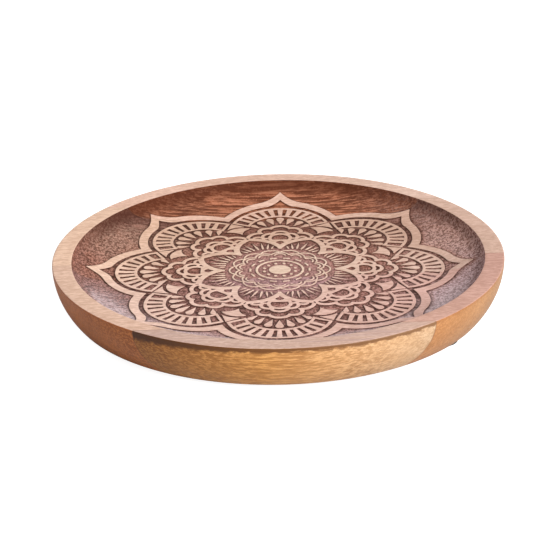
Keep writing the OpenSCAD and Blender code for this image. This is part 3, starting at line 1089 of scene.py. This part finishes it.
        # flecks show most a little left of the middle
        off_centre = self.math("ABSOLUTE", self.add(self.x, 25.0))
        flecked = self.fade(off_centre, over=(60.0, 108.0), to=(1.0, 0.42))
        colour = self.figured(base, 1.0, darker=(0.88, 0.84, 0.78), lighter=(1.07, 1.09, 1.14))
        return self.layers(colour, (
            ("patch", (0.46, 0.58), 0.60, tone((0.78, 0.70, 0.60))),
            ("rings", (0.50, 0.58), 0.50, tone((0.82, 0.74, 0.66))),
            ("fleck", (0.505, 0.56), 0.90, tone((0.54, 0.43, 0.30)), flecked),
            ("fleck", (0.485, 0.43), 0.80, tone((1.22, 1.27, 1.34)), flecked),
            ("chip", (0.52, 0.58), 0.60, tone((0.66, 0.55, 0.42)), flecked),
            ("fibre", (0.42, 0.66), 0.30, tone((0.70, 0.60, 0.48))),
            ("pores", None, 0.55, tone((0.48, 0.38, 0.28))),
            ("cloudy", (0.35, 0.65), 0.30, tone((1.12, 1.08, 1.02)))))

    def lacquer_edge(self, colour, base, outer, ragged):
        """Dark line just under the rim, ragged and wider to the left on the front board."""
        if ragged:
            left, right = (0.10, 0.07, 0.05), (0.38, 0.27, 0.18)
            deeper = self.fade(self.x, over=(-10.0, -100.0), to=(0.0, 4.2))
            width = self.add(
                self.mul(self.mask("ragged", over=(0.36, 0.64)), 2.2), self.add(deeper, 1.5))
            depth = self.math("DIVIDE", self.sub(RIM_Z - 0.7, self.z), width)
            dark = self.fade(depth, over=(0.40, 1.10), to=(0.95, 0.0))
            shade = self.mix(self.side, left, right)
        else:
            dark = self.fade(self.sub(RIM_Z, self.z), over=(0.8, 2.6), to=(0.32, 0.0))
            shade = (0.55, 0.38, 0.26)
        return self.mix(self.mul(dark, outer), colour, self.tint(base, shade))

    def finish(self, colour, top, outer):
        """Colour, gloss and relief; top is the bare wood, outer the lacquer."""
        speck = self.grain("speck")
        roughness = self.blend(outer, self.blend(top, 0.46, 0.60), 0.40)
        roughness = self.add(roughness, self.mul(self.sub(speck, 0.5), 0.30))
        ground_gloss = self.fade(self.radius, over=(118.0, 128.0), to=(0.025, 0.01))
        height = self.add(self.mul(self.grain("fibre"), 0.5), self.mul(self.grain("fine"), 0.3))
        height = self.sub(height, self.mul(self.grain("pores"), 0.6))
        rough_ground = self.blend(self.math("MAXIMUM", top, outer), 0.9, 0.1)
        height = self.add(height, self.mul(speck, rough_ground))
        self.surface({
            "Base Color": colour,
            "Roughness": roughness,
            "Specular IOR Level": self.blend(outer, self.blend(top, ground_gloss, 0.06), 0.30),
            "Coat Weight": self.blend(outer, self.blend(top, 0.0, 0.0), 0.12),
            "Coat Roughness": 0.30,
            "Normal": self.bump(height, strength=0.6, distance=0.00014)})


def board_wood(name, seed, seams, pith, bare, stain, warm, wall_tones_and_light, rim_marks=None):
    wood = BoardWood(name, seed, pith)
    # lacquer from left to right: partly its own tone, partly painted shade at the left and painted
    # light at the right
    base = wood.ramp(wood.side, list(zip((0.0, 0.45, 1.0), wall_tones_and_light)))
    edge_wander = wood.mul(wood.sub(wood.grain("fine"), 0.5), 0.16)
    top = wood.math(
        "MAXIMUM",
        wood.fade(wood.add(wood.line, edge_wander), over=(-0.12, 0.10)),
        wood.fade(wood.attribute("bare"), over=(0.25, 0.75)))
    outer = wood.fade(wood.attribute("outer"), over=(0.3, 0.7))
    colour = wood.mix(top, wood.stained_ground(stain, warm), wood.bare_wood(*bare, rim_marks))
    colour = wood.mix(outer, colour, wood.lacquer(base))
    colour = wood.lacquer_edge(colour, base, outer, ragged=rim_marks)
    glue_colour = (0.10, 0.045, 0.022)
    for y, glue in seams:
        away = wood.math("ABSOLUTE", wood.sub(wood.y, y))
        colour = wood.mix(wood.fade(away, over=(0.06, 0.34), to=(glue, 0.0)), colour, glue_colour)
    wood.finish(colour, top, outer)
    return wood.material


def rubber():
    nodes = Nodes("rubber")
    place = nodes.millimetres()
    blotches = nodes.noise(place, scale=0.9, detail=3, roughness=0.6)
    pits = nodes.noise(place, scale=6.0, detail=2, roughness=0.6)
    stops = [(0.3, (0.012, 0.012, 0.013)), (0.7, (0.035, 0.034, 0.033))]
    nodes.surface({
        "Base Color": nodes.ramp(blotches, stops),
        "Roughness": nodes.fade(blotches, over=(0.3, 0.7), to=(0.55, 0.72)),
        "Normal": nodes.bump(pits, strength=0.4, distance=0.00006)})
    return nodes.material


def steel():
    nodes = Nodes("screw_steel")
    place = nodes.millimetres()
    blotches = nodes.noise(place, scale=1.6, detail=3, roughness=0.6)
    pits = nodes.noise(place, scale=9.0, detail=2, roughness=0.5)
    stops = [(0.3, (0.52, 0.52, 0.50)), (0.7, (0.70, 0.70, 0.68))]
    nodes.surface({
        "Metallic": 1.0,
        "Base Color": nodes.ramp(blotches, stops),
        "Roughness": nodes.fade(blotches, over=(0.35, 0.65), to=(0.26, 0.42)),
        "Normal": nodes.bump(pits, strength=0.2, distance=0.00003)})
    return nodes.material


# ---------------------------------------------------------------------------
# pieces
# ---------------------------------------------------------------------------
# boards from front to back: pith is its y and z; bare is the sanded wood at the left and right,
# partly painted light;
# warm tints the stain's year rings; wall_tones_and_light is the lacquer at the left, middle and
# right, with painted shade at the left and painted light at the right
BOARDS = {
    "front_board": dict(
        pith=(-172.0, -46.0), bare=(srgb(196, 168, 154), srgb(196, 164, 148)),
        stain=srgb(122, 84, 74), warm=(1.35, 1.20, 1.05),
        wall_tones_and_light=(srgb(150, 80, 8), srgb(207, 149, 84), srgb(199, 175, 149)),
        rim_marks=(srgb(168, 140, 136), srgb(120, 92, 92))),
    "front_middle_board": dict(
        pith=(-40.0, -62.0), bare=(srgb(216, 183, 162), srgb(188, 147, 133)),
        stain=srgb(128, 86, 76), warm=(1.40, 1.22, 1.05),
        wall_tones_and_light=(srgb(190, 108, 46), srgb(190, 122, 70), srgb(180, 132, 86))),
    "back_middle_board": dict(
        pith=(60.0, -74.0), bare=(srgb(224, 190, 166), srgb(196, 164, 147)),
        stain=srgb(130, 84, 70), warm=(1.50, 1.25, 1.00),
        wall_tones_and_light=(srgb(196, 116, 60), srgb(192, 126, 76), srgb(184, 136, 92))),
    "back_board": dict(
        pith=(148.0, -30.0), bare=(srgb(228, 190, 170), srgb(208, 178, 162)),
        stain=srgb(148, 88, 64), warm=(1.45, 1.18, 1.00),
        wall_tones_and_light=(srgb(196, 118, 62), srgb(194, 128, 78), srgb(186, 138, 94))),
}


def boards():
    whole = plate_mesh()
    edges = (None, *SEAMS, None)
    for k, (name, look) in enumerate(BOARDS.items()):
        ends = edges[k : k + 2]
        front, back = [end and end[0] for end in ends]
        slot = "wood_" + name.removesuffix("_board")
        ob = cut_board(whole, name + "_carved", front, back)
        seams = [end for end in ends if end]
        ob.data.materials.append(board_wood(slot, float(k + 1), seams, **look))
        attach(ob, "root")
        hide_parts(name)
    bpy.data.meshes.remove(whole)


def feet():
    black, metal = rubber(), steel()
    for name, material in (("front_right_foot", black), ("back_foot", black),
                           ("left_foot", black), ("foot_screws", metal)):
        materials = frame["nodes"][name].data.materials
        materials.clear()
        materials.append(material)


# ---------------------------------------------------------------------------
# floor, light, camera, in metres
# ---------------------------------------------------------------------------
def floor(half=6):
    """Pale paper: the camera sees it nearly white, the plate gets less light back from it."""
    mesh = bpy.data.meshes.new("floor")
    corners = [(-half, -half, 0), (half, -half, 0), (half, half, 0), (-half, half, 0)]
    mesh.from_pydata(corners, [], [(0, 1, 2, 3)])
    ob = link(mesh, "floor")
    nodes = Nodes("floor_paper")
    seen = nodes.node("LightPath").outputs["Is Camera Ray"]
    nodes.surface({
        "Base Color": nodes.mix(seen, under=(0.55, 0.55, 0.55), over=(0.40, 0.40, 0.40)),
        "Roughness": 0.9,
        "Specular IOR Level": 0.2,
        "Emission Color": (1, 1, 1),
        "Emission Strength": nodes.mul(seen, 0.92)})
    mesh.materials.append(nodes.material)


def area(name, at, target, size, power, height=None):
    """Area light, square unless it has a height."""
    light = bpy.data.lights.new(name, "AREA")
    light.energy, light.size = power, size
    if height:
        light.shape, light.size_y = "RECTANGLE", height
    ob = link(light, name)
    ob.location = at
    ob.rotation_euler = (Vector(target) - Vector(at)).to_track_quat("-Z", "Y").to_euler()


def world():
    """White: full strength for the camera, weaker as light."""
    studio = bpy.data.worlds.new("studio")
    bpy.context.scene.world = studio
    studio.use_nodes = True
    tree = studio.node_tree
    background = tree.nodes["Background"]
    background.inputs["Color"].default_value = (1, 1, 1, 1)
    seen = tree.nodes.new("ShaderNodeLightPath").outputs["Is Camera Ray"]
    level = tree.nodes.new("ShaderNodeMapRange")
    level.inputs["To Min"].default_value = 0.32
    level.inputs["To Max"].default_value = 1.0
    tree.links.new(seen, level.inputs["Value"])
    tree.links.new(level.outputs[0], background.inputs["Strength"])


def camera():
    """Looks down on the plate from the front and a little from the left."""
    down, bearing, distance = math.radians(22.604), math.radians(-1.5), 1.4382
    # the view is turned off the plate's centre sideways and upwards, and rolled
    yaw, pitch, roll = (math.radians(angle) for angle in (-0.04905005, -0.7335898, 1.153))
    turn = Matrix.Rotation(bearing, 3, "Z")
    right = turn @ Vector((1, 0, 0))
    ahead = turn @ Vector((0, math.cos(down), -math.sin(down)))
    up = right.cross(ahead)
    level_ahead = math.sin(pitch) * up + math.cos(pitch) * ahead
    view = math.cos(yaw) * level_ahead - math.sin(yaw) * right
    view_right = math.cos(yaw) * right + math.sin(yaw) * level_ahead
    view_up = math.cos(pitch) * up - math.sin(pitch) * ahead
    cos, sin = math.cos(roll), math.sin(roll)
    view_right, view_up = cos * view_right - sin * view_up, sin * view_right + cos * view_up
    data = bpy.data.cameras.new("camera")
    data.sensor_width, data.lens = 36.0, 138.9214286
    data.clip_start, data.clip_end = 0.05, 50
    data.shift_x, data.shift_y = -0.000892857, 0.000892857
    ob = link(data, "camera")
    matrix = Matrix((view_right, view_up, -view)).transposed().to_4x4()
    matrix.translation = Vector((0, 0, RIM_Z * MM)) - distance * ahead
    ob.matrix_world = matrix
    bpy.context.scene.camera = ob


boards()
feet()
floor()
area("key", at=(1.14, -1.27, 1.07), target=(0, 0, 0.02), size=0.9, power=58)
area("back", at=(1.1, 2.1, 0.42), target=(0, 0, 0.02), size=2.0, power=16, height=0.6)
area("top", at=(-0.2, 0.5, 2.2), target=(0, 0, 0), size=1.6, power=4)
area("left", at=(-1.5, 0.9, 1.0), target=(0, 0, 0), size=1.0, power=9)
world()
camera()
view_settings = bpy.context.scene.view_settings
view_settings.view_transform = "Standard"
view_settings.look = "None"
